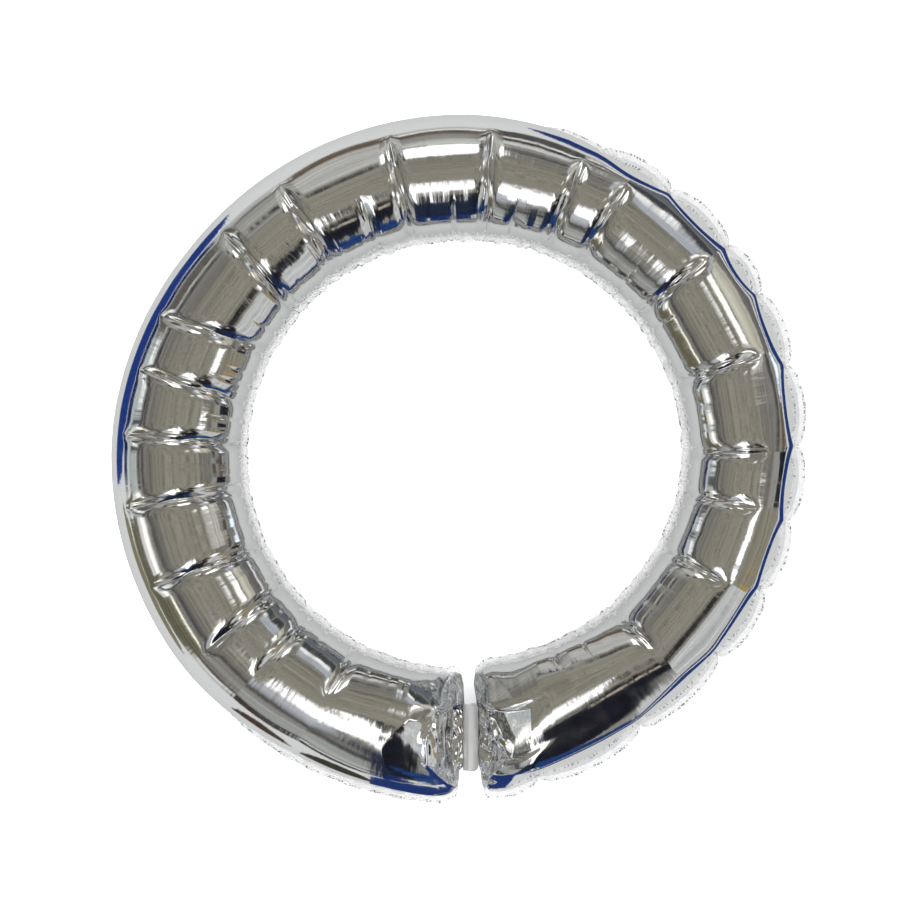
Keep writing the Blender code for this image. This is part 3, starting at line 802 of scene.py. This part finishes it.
# Each end: its rows and crumples, the film's column there, the rows where its neck starts and stops, the
# crumples' seed, and whether its rows and columns face outward as they stand
ENDS = (
    ("left", LEFT_END, LEFT_CRUMPLED, 0, 2, 5, 51, False),
    ("right", RIGHT_END, RIGHT_CRUMPLED, -1, 2, 6, 52, True),
)
LOWER_SEED = 10
rims = {}
for side, rows, crumpled, column, neck_start, neck_stop, seed, outward in ENDS:
    top, lines, across = end_net(rows, crumpled, skin[:, column], turned, 1.0, seed)
    bottom, _, _ = end_net(rows, crumpled, back_skin[:, column], back_turned, -1.0, seed + LOWER_SEED)
    rims[side] = (top[0], top[-1])
    facet, rest = across <= 1.0, across >= 1.0
    inner_rows, outer_rows = lines <= neck_start, lines >= neck_stop
    neck_rows = (lines >= neck_start) & (lines <= neck_stop)
    both = np.concatenate((top, bottom[:, ::-1]), axis=1)
    flaps = np.concatenate((top[:, rest], bottom[:, rest][:, ::-1]), axis=1)
    neck_grids = (both[neck_rows], top[inner_rows][:, facet], bottom[inner_rows][:, facet][:, ::-1],
                  top[outer_rows][:, facet], bottom[outer_rows][:, facet][:, ::-1])
    end_piece(f"{side}_neck_film", f"{side}_neck", neck_look, neck_grids, outward)
    for part, part_rows in (("inner", inner_rows), ("outer", outer_rows)):
        name, node = f"{side}_{part}_flap", f"{side}_end_seam_{part}"
        end_piece(name, node, flap_look, (flaps[part_rows],), outward)

# Edge seams: the strips where the two films are sealed face to face, knurled by the sealing bar. They
# run on round the corners of the ends. The outer one stands in leaves on the right and is rolled under
# the tube on the left.
SEAM_STEP = 0.0005
SEAM_CORNER = 0.004
SEAM_GATHERED = 0.75
# At its narrowest a strip is this wide
SEAM_LEAST = 0.0001
SEAM_WAVES = 9
SEAM_PITCH = (0.0035, 0.013)
SEAM_WAVE_SHARE = (0.3, 1.0)
RUFFLE_SIZE = 0.00013
SCALLOP_SIZE = 0.00010
SCALLOP_STRETCH = 1.7
SEAM_SHADE = (0.60, 0.605, 0.61)
seam_look = knurled(
    "sealed_edge", SEAM_SHADE, roughness=0.12, pitch=0.0011, depth=0.00022, metal=0.35, wrinkle=0.00045
)


def edge_strip(name, path, way, width, rows, seed):
    """A strip that stands out from the film along a path, gently ruffled and not quite even in width."""
    draw = np.random.default_rng(seed)
    length = np.concatenate(([0.0], np.cumsum(np.linalg.norm(np.diff(path, axis=0), axis=1))))
    arc = np.arange(0.0, length[-1], SEAM_STEP)
    root = np.stack([np.interp(arc, length, path[:, axis]) for axis in range(3)], -1)
    ahead = np.stack([np.convolve(np.gradient(root[:, axis]), np.ones(7) / 7, "same") for axis in (0, 1)], -1)
    ahead /= np.linalg.norm(ahead, axis=1, keepdims=True)
    level = np.stack((-ahead[:, 1], ahead[:, 0], 0.0 * arc), -1) * way
    heading = np.degrees(np.arctan2(RING_CENTRE[0] - root[:, 0], RING_CENTRE[1] - root[:, 1])) % 360.0
    drop = np.radians(seam_roll(heading))[:, None] * (way > 0)
    upright = np.array((0.0, 0.0, 1.0))
    outward = level * np.cos(drop) - upright * np.sin(drop)
    up = level * np.sin(drop) + upright * np.cos(drop)
    ruffle, scallop = np.zeros_like(arc), np.zeros_like(arc)
    for _ in range(SEAM_WAVES):
        pitch = draw.uniform(*SEAM_PITCH)
        ruffle += draw.uniform(*SEAM_WAVE_SHARE) * np.sin(2 * pi * arc / pitch + draw.uniform(0.0, 2 * pi))
        pitch = pitch * SCALLOP_STRETCH
        scallop += draw.uniform(*SEAM_WAVE_SHARE) * np.sin(2 * pi * arc / pitch + draw.uniform(0.0, 2 * pi))
    out = np.linspace(0.0, 1.0, rows)[:, None]
    narrow = ease(np.minimum(arc, arc[-1] - arc) / SEAM_CORNER)
    if way > 0:
        narrow = narrow * (1.0 - SEAM_GATHERED * leaved(heading) * (1.0 - lobe(heading)) ** 3)
    reach = ((width + SCALLOP_SIZE * scallop) * narrow + SEAM_LEAST)[None, :] * out
    height = RUFFLE_SIZE * ruffle[None, :] * out**1.5
    points = root[None] + outward[None] * reach[..., None] + up[None] * height[..., None]
    points[..., 2] = np.maximum(points[..., 2], TABLE_GAP)
    uv = np.stack(np.broadcast_arrays(arc[None, :], out * width), -1)
    strip = sheet(name, (points,), seam_look, outward=way < 0, uv=uv)
    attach(strip, "ring")
    return strip


outer_path = np.concatenate((rims["left"][1][::-1], skin[0], rims["right"][1]))
outer_strip = edge_strip("outer_seam_strip", outer_path, 1.0, OUTER_SEAM_WIDTH - SEAM_LEAST, rows=7, seed=31)
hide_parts("outer_seam")
inner_path = np.concatenate((rims["left"][0][::-1], skin[-1], rims["right"][0]))
inner_strip = edge_strip("inner_seam_strip", inner_path, -1.0, INNER_SEAM_WIDTH - SEAM_LEAST, rows=6, seed=32)
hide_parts("inner_seam")

# Closing tab: a smooth strip of doubled film that laps from the left neck on to the right one. It
# is bent over into a shallow arch and hinges along its left edge.
TAB_SEAT = 0.0306
TAB_WIDTH = 0.0070
TAB_LENGTH = 0.0334
TAB_ARCH = 0.0022
TAB_FILM = 0.0004
TAB_CORNER = 0.0020
TAB_GAP = 0.0002
TAB_CREASES = (0.06, 0.02)
TAB_END_DROP = 0.15
TAB_SHADE = (0.60, 0.60, 0.605)

tab_look = foil("tab_film", TAB_SHADE, roughness=0.28, grain=0.00002, ripple=0.00003, metal=0.78)
across, along = np.linspace(0.0, 1.0, 40), np.linspace(-0.5, 0.5, 70)
ends = np.maximum(0.0, (np.abs(along) - 0.5) * TAB_LENGTH + TAB_CORNER) / TAB_CORNER
inset = TAB_CORNER * (1.0 - np.sqrt(np.maximum(0.0, 1.0 - ends**2)))
tab_x = tab_low.x + TAB_GAP + (TAB_WIDTH - inset)[None, :] * across[:, None]
tab_y = (tab_low.y + tab_high.y) / 2 + TAB_LENGTH * along[None, :] + 0.0 * across[:, None]
bow = np.sin(pi * across) ** 0.8
bow = bow + TAB_CREASES[0] * np.sin(3 * pi * across) + TAB_CREASES[1] * np.sin(7 * pi * across)
tab_z = TAB_SEAT + TAB_GAP + TAB_ARCH * bow[:, None] * (1.0 - TAB_END_DROP * (2 * along[None, :]) ** 2)
tab_points = np.stack((tab_x, tab_y, tab_z), -1)
tab_strip = sheet("closing_tab", (tab_points,), tab_look, outward=False, uv=tab_points[..., :2].copy())
thickness = tab_strip.modifiers.new("doubled film", "SOLIDIFY")
thickness.thickness = TAB_FILM
thickness.offset = -1.0
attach(tab_strip, "tab")
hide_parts("link_tab")

# Floor, light and camera: white paper under the ring with arcs of cloth round it, soft light from all
# round, and plain bright and dark panels that only the film's reflections show.
FLOOR_SIZE = 6.0
FLOOR_DROP = 0.0002
PAPER_SEEN = (1.0, 1.0, 1.0, 1.0)
PAPER_REFLECTED = (0.293, 0.30, 0.297, 1.0)


def matt(name, colour):
    """A dull surface with no gloss."""
    made = bpy.data.materials.new(name)
    made.use_nodes = True
    shader = made.node_tree.nodes["Principled BSDF"]
    shader.inputs["Base Color"].default_value = colour
    shader.inputs["Roughness"].default_value = 0.9
    shader.inputs["Specular IOR Level"].default_value = 0.0
    return made


half = FLOOR_SIZE / 2
floor_corners = [(x, y, -FLOOR_DROP) for x, y in ((-half, -half), (half, -half), (half, half), (-half, half))]
floor_mesh = bpy.data.meshes.new("floor")
floor_mesh.from_pydata(floor_corners, [], [(0, 1, 2, 3)])
floor = bpy.data.objects.new("floor", floor_mesh)
bpy.context.scene.collection.objects.link(floor)
paper = matt("white_paper", PAPER_SEEN)
tree = paper.node_tree
seen = link_node(tree, "ShaderNodeLightPath").outputs["Is Camera Ray"]
white = mixed_colour(tree, seen, PAPER_REFLECTED, PAPER_SEEN)
tree.links.new(white, tree.nodes["Principled BSDF"].inputs["Base Color"])
floor_mesh.materials.append(paper)
floor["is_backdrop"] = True

# Arcs of cloth, navy, khaki and near black, seen only in the film: the angles where each starts and
# stops, its nearest and farthest radius, and its colour
CLOTH_ARCS = (
    (85.0, 136.0, 0.245, 1.40, (0.007, 0.018, 0.085)),
    (54.0, 82.0, 0.31, 1.40, (0.09, 0.083, 0.053)),
    (30.0, 41.5, 0.235, 0.70, (0.028, 0.018, 0.014)),
    (14.5, 28.5, 0.216, 0.60, (0.020, 0.019, 0.014)),
    (-8.0, 15.5, 0.198, 2.90, (0.007, 0.017, 0.070)),
    (192.0, 354.0, 0.238, 0.60, (0.007, 0.017, 0.070)),
)
# Towards its two ends an arc narrows over this many degrees
CLOTH_CORNER = 12.0
for number, (first, last, near, far, colour) in enumerate(CLOTH_ARCS):
    spread = np.linspace(first, last, 60)
    level = 0.0 * spread
    reach = np.minimum(1.0, np.minimum(spread - first, last - spread) / CLOTH_CORNER)
    near_edge = place(spread, near + level, level)
    far_edge = place(spread, near + (far - near) * reach, level)
    cloth_points = np.stack((near_edge, far_edge))
    cloth = sheet(f"cloth_{number}", (cloth_points,), matt(f"cloth_{number}", (*colour, 1.0)))
    cloth.visible_camera = False
    cloth.visible_diffuse = False
    cloth.visible_shadow = False
    cloth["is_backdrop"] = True

world = bpy.data.worlds.new("studio")
bpy.context.scene.world = world
world.use_nodes = True
tree = world.node_tree
heading = link_node(tree, "ShaderNodeTexCoord").outputs["Generated"]
axes = link_node(tree, "ShaderNodeSeparateXYZ", Vector=heading)


def sums(operation, *values):
    """One step of arithmetic in the room's shader."""
    return maths(tree, operation, *values)


def step_between(value, low, high):
    """0 below low, 1 above high, eased in between."""
    kind = {"interpolation_type": "SMOOTHSTEP"}
    return link_node(tree, "ShaderNodeMapRange", kind, i0=value, i1=low, i2=high).outputs[0]


# Direction round the ring and height over the table, in degrees
to_left, to_front = sums("MULTIPLY", axes.outputs[0], -1.0), sums("MULTIPLY", axes.outputs[1], -1.0)
turn = sums("MULTIPLY", sums("ARCTAN2", to_left, to_front), degrees(1.0))
lift = sums("MULTIPLY", sums("ARCSINE", axes.outputs[2]), degrees(1.0))

# The room by height: pale ground, a bright line with a dark one over it, then walls and a warm ceiling
HEIGHTS = (
    (0.0, (0.72, 0.74, 0.72)),
    (4.5, (0.50, 0.51, 0.49)),
    (6.0, (1.10, 1.10, 1.06)),
    (9.0, (1.10, 1.10, 1.06)),
    (10.5, (0.08, 0.08, 0.075)),
    (13.0, (0.10, 0.10, 0.09)),
    (14.5, (0.26, 0.25, 0.22)),
    (28.0, (0.34, 0.335, 0.31)),
    (45.0, (0.22, 0.21, 0.185)),
    (60.0, (0.30, 0.285, 0.235)),
    (90.0, (0.33, 0.31, 0.255)),
)
ZENITH = 90.0
# The room's lines aren't level: they wave up and down by a few degrees
WAVE_TURN = 0.055
WAVE_RISE = 7.0
along_wall = sums("MULTIPLY", turn, WAVE_TURN)
kind = {"noise_dimensions": "1D"}
waves = link_node(tree, "ShaderNodeTexNoise", kind, i1=along_wall, Scale=1.0, Detail=1.0)
wavy_lift = sums("ADD", lift, sums("MULTIPLY", sums("SUBTRACT", waves.outputs[0], 0.5), WAVE_RISE))
ramp = link_node(tree, "ShaderNodeValToRGB", i0=sums("DIVIDE", wavy_lift, ZENITH))
stops = ramp.color_ramp.elements
while len(stops) < len(HEIGHTS):
    stops.new(0.5)
for stop, (height, _) in zip(stops, HEIGHTS):
    stop.position = height / ZENITH
for stop, (_, colour) in zip(stops, HEIGHTS):
    stop.color = (*colour, 1.0)
room = ramp.outputs[0]

# Panels: middle direction, half width, lowest and highest elevation, slope and softness of the edges, colour
PANELS = (
    (90.0, 40.0, 34.4, 38.4, -0.16, 1.5, (0.09, 0.085, 0.075)),
    (110.0, 25.0, -10.0, 8.0, 0.0, 1.0, (0.012, 0.028, 0.11)),
    (98.5, 15.0, 9.0, 27.0, 0.0, 1.5, (0.55, 0.60, 0.59)),
    (107.0, 6.0, 19.0, 26.0, 0.0, 1.2, (1.30, 1.34, 1.34)),
    (98.5, 15.0, 28.5, 32.0, 0.0, 1.0, (0.07, 0.07, 0.06)),
    (121.5, 8.0, 9.0, 24.0, 0.0, 1.5, (0.15, 0.14, 0.12)),
    (121.5, 8.0, 25.0, 28.0, 0.0, 0.8, (0.75, 0.74, 0.70)),
    (138.0, 7.0, -5.0, 12.0, 0.0, 2.0, (0.55, 0.57, 0.56)),
    (67.0, 13.0, -10.0, 12.0, 0.0, 2.0, (0.16, 0.15, 0.10)),
    (74.0, 9.0, 17.0, 31.0, 0.0, 2.0, (0.95, 0.95, 0.88)),
    (74.0, 8.0, 24.0, 28.0, 0.0, 1.0, (1.80, 1.80, 1.70)),
    (141.0, 7.0, 18.0, 50.0, 0.0, 3.0, (0.40, 0.40, 0.37)),
    (158.0, 9.0, 15.0, 45.0, 0.0, 4.0, (0.58, 0.58, 0.55)),
    (158.0, 9.0, 1.0, 13.0, 0.0, 2.0, (0.16, 0.12, 0.085)),
    (177.0, 11.0, 36.0, 52.0, -0.2, 2.0, (2.30, 2.30, 2.20)),
    (177.0, 11.0, 27.0, 35.0, 0.0, 2.0, (0.62, 0.62, 0.58)),
    (177.0, 11.0, 9.0, 15.0, 0.0, 1.5, (0.14, 0.10, 0.075)),
    (194.0, 8.0, 36.0, 41.0, 0.0, 1.0, (0.12, 0.12, 0.12)),
    (194.0, 8.0, 24.0, 30.0, 0.0, 1.0, (0.75, 0.75, 0.73)),
    (194.0, 8.0, 17.5, 23.0, 0.0, 1.0, (0.03, 0.03, 0.03)),
    (194.0, 8.0, 15.5, 17.5, 0.0, 0.6, (1.40, 1.40, 1.35)),
    (194.0, 8.0, -1.0, 11.0, 0.0, 1.5, (0.09, 0.09, 0.09)),
    (221.0, 10.0, 35.0, 50.0, 0.2, 2.0, (0.52, 0.56, 0.60)),
    (221.0, 10.0, 20.0, 34.0, 0.3, 2.0, (0.06, 0.065, 0.07)),
    (221.0, 10.0, 2.0, 18.0, 0.0, 3.0, (0.14, 0.155, 0.18)),
    (235.0, 19.0, -10.0, 4.0, 0.0, 1.0, (0.02, 0.045, 0.15)),
    (216.0, 5.0, 32.0, 39.0, 0.0, 1.5, (1.30, 1.30, 1.28)),
    (242.0, 9.0, 28.0, 44.0, 0.0, 1.5, (0.62, 0.60, 0.50)),
    (242.0, 9.0, 17.0, 27.0, 0.0, 2.0, (0.22, 0.21, 0.20)),
    (239.0, 5.0, 66.0, 74.0, 0.0, 2.0, (1.00, 1.00, 0.96)),
    (242.0, 9.0, 47.0, 57.0, 0.0, 1.5, (1.60, 1.60, 1.50)),
    (253.0, 5.0, 38.0, 60.0, 0.0, 3.0, (0.62, 0.60, 0.55)),
    (261.0, 8.0, 24.0, 31.0, 0.0, 1.5, (0.10, 0.09, 0.075)),
    (264.0, 4.5, 3.0, 18.0, 0.0, 2.0, (0.16, 0.12, 0.08)),
    (257.0, 3.5, 5.0, 15.0, 0.0, 1.5, (1.30, 1.50, 1.80)),
    (275.0, 5.5, -10.0, 24.0, 0.0, 1.0, (0.012, 0.015, 0.025)),
    (287.0, 7.0, -4.0, 45.0, 0.0, 2.0, (0.30, 0.28, 0.22)),
    (287.0, 6.5, 48.0, 58.0, 0.5, 1.5, (2.40, 2.40, 2.35)),
    (310.5, 14.5, 10.0, 50.0, 0.0, 2.0, (0.75, 0.77, 0.76)),
    (296.0, 2.5, 14.0, 38.0, 0.0, 3.0, (0.50, 0.35, 0.10)),
    (308.0, 7.0, 56.0, 66.0, 0.0, 1.2, (0.02, 0.02, 0.022)),
    (311.0, 16.0, -10.0, 9.0, 0.0, 1.0, (0.02, 0.05, 0.17)),
    (352.0, 8.0, 8.0, 56.0, 0.0, 1.5, (0.012, 0.013, 0.020)),
    (336.0, 10.0, 29.0, 66.0, -1.4, 2.0, (0.012, 0.013, 0.020)),
    (333.0, 5.0, 53.0, 57.0, 0.0, 1.2, (0.70, 0.62, 0.52)),
    (322.0, 6.0, 41.0, 62.0, -1.0, 1.5, (0.012, 0.013, 0.020)),
    (336.0, 10.0, 74.0, 80.0, 0.0, 1.5, (0.02, 0.02, 0.022)),
    (336.0, 10.0, -10.0, 25.0, 1.0, 1.5, (0.02, 0.06, 0.20)),
    (331.0, 6.0, 64.0, 70.0, 0.0, 1.5, (0.28, 0.25, 0.18)),
    (2.0, 10.0, 12.0, 45.0, 0.0, 2.0, (0.02, 0.03, 0.06)),
    (2.0, 11.0, -10.0, 14.0, 0.0, 2.0, (0.015, 0.035, 0.14)),
    (26.0, 12.0, 44.0, 60.0, 0.0, 6.0, (0.55, 0.58, 0.62)),
    (352.0, 8.0, 64.0, 80.0, 0.0, 3.0, (2.30, 2.30, 2.30)),
    (7.0, 8.0, 50.0, 74.0, 0.8, 3.0, (2.30, 2.30, 2.30)),
    (25.5, 10.5, 60.0, 78.0, 0.0, 4.0, (2.20, 2.22, 2.25)),
    (28.0, 15.0, 12.0, 30.0, 0.1, 2.5, (0.42, 0.44, 0.42)),
    (31.0, 19.0, 36.0, 42.0, 0.33, 2.5, (0.09, 0.09, 0.09)),
    (22.0, 7.0, -10.0, 6.0, 0.0, 1.0, (0.05, 0.045, 0.04)),
    (36.0, 6.0, -10.0, 11.0, 0.0, 1.0, (0.06, 0.045, 0.04)),
    (58.0, 6.0, 8.0, 28.0, 0.0, 3.0, (0.20, 0.18, 0.12)),
    (59.0, 5.0, 28.0, 31.0, 0.0, 0.8, (1.50, 1.45, 1.20)),
    (59.0, 5.0, 38.0, 43.0, 0.0, 1.5, (0.08, 0.08, 0.08)),
    (76.0, 9.0, 40.0, 44.0, 0.0, 1.5, (0.14, 0.14, 0.13)),
    (95.0, 3.0, 14.0, 30.0, 0.0, 1.0, (0.10, 0.10, 0.11)),
    (143.0, 4.0, 38.0, 44.0, 0.0, 1.5, (0.06, 0.06, 0.06)),
    (157.0, 5.0, 49.0, 56.0, 0.0, 1.5, (0.05, 0.05, 0.05)),
)
PANEL_EDGE = 2.0
for middle, half_width, low, high, slope, soft, colour in PANELS:
    off = sums("WRAP", sums("SUBTRACT", turn, middle), 180.0, -180.0)
    level = sums("SUBTRACT", wavy_lift, sums("MULTIPLY", off, slope)) if slope else wavy_lift
    past_side = step_between(sums("ABSOLUTE", off), half_width - PANEL_EDGE, half_width + PANEL_EDGE)
    beside = sums("SUBTRACT", 1.0, past_side)
    above = step_between(level, low - soft, low + soft)
    below = sums("SUBTRACT", 1.0, step_between(level, high - soft, high + soft))
    share = sums("MULTIPLY", beside, sums("MULTIPLY", above, below))
    room = mixed_colour(tree, share, room, (*colour, 1.0))

# Fine level streaks over it all, such as shelves, slats and cloth make
STREAKS = 0.42
STREAK_TURN = 0.03
STREAK_LIFT = 0.42
drawn_out = {"i0": sums("MULTIPLY", turn, STREAK_TURN), "i1": sums("MULTIPLY", lift, STREAK_LIFT)}
fine = noise(tree, link_node(tree, "ShaderNodeCombineXYZ", **drawn_out).outputs[0], 3.0)
fine = carried(tree, fine, (0.3, 0.7), (1.0 - STREAKS, 1.0 + STREAKS))
room = mixed_colour(tree, step_between(lift, 1.0, 4.0), room, fine, way="MULTIPLY")

# Dull surfaces are lit by even white light, and the camera sees plain white past the paper
path = link_node(tree, "ShaderNodeLightPath")
for ray, brightness in (("Is Diffuse Ray", 3.0), ("Is Camera Ray", 1.0)):
    room = mixed_colour(tree, path.outputs[ray], room, (brightness, brightness, brightness, 1.0))
tree.links.new(room, tree.nodes["Background"].inputs["Color"])
world.cycles.sampling_method = "NONE"
bpy.context.scene.view_settings.view_transform = "Standard"

CAMERA_HEIGHT = 1.2
VIEW_WIDTH = 0.464
CENTRE_RISE = 0.00302
camera_data = bpy.data.cameras.new("camera")
camera_data.sensor_width = 36.0
camera_data.lens = camera_data.sensor_width * CAMERA_HEIGHT / VIEW_WIDTH
camera_data.clip_start = 0.01
camera = bpy.data.objects.new("camera", camera_data)
camera.location = (RING_CENTRE[0], RING_CENTRE[1] - CENTRE_RISE, MID_HEIGHT + CAMERA_HEIGHT)
bpy.context.scene.collection.objects.link(camera)
bpy.context.scene.camera = camera

low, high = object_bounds()
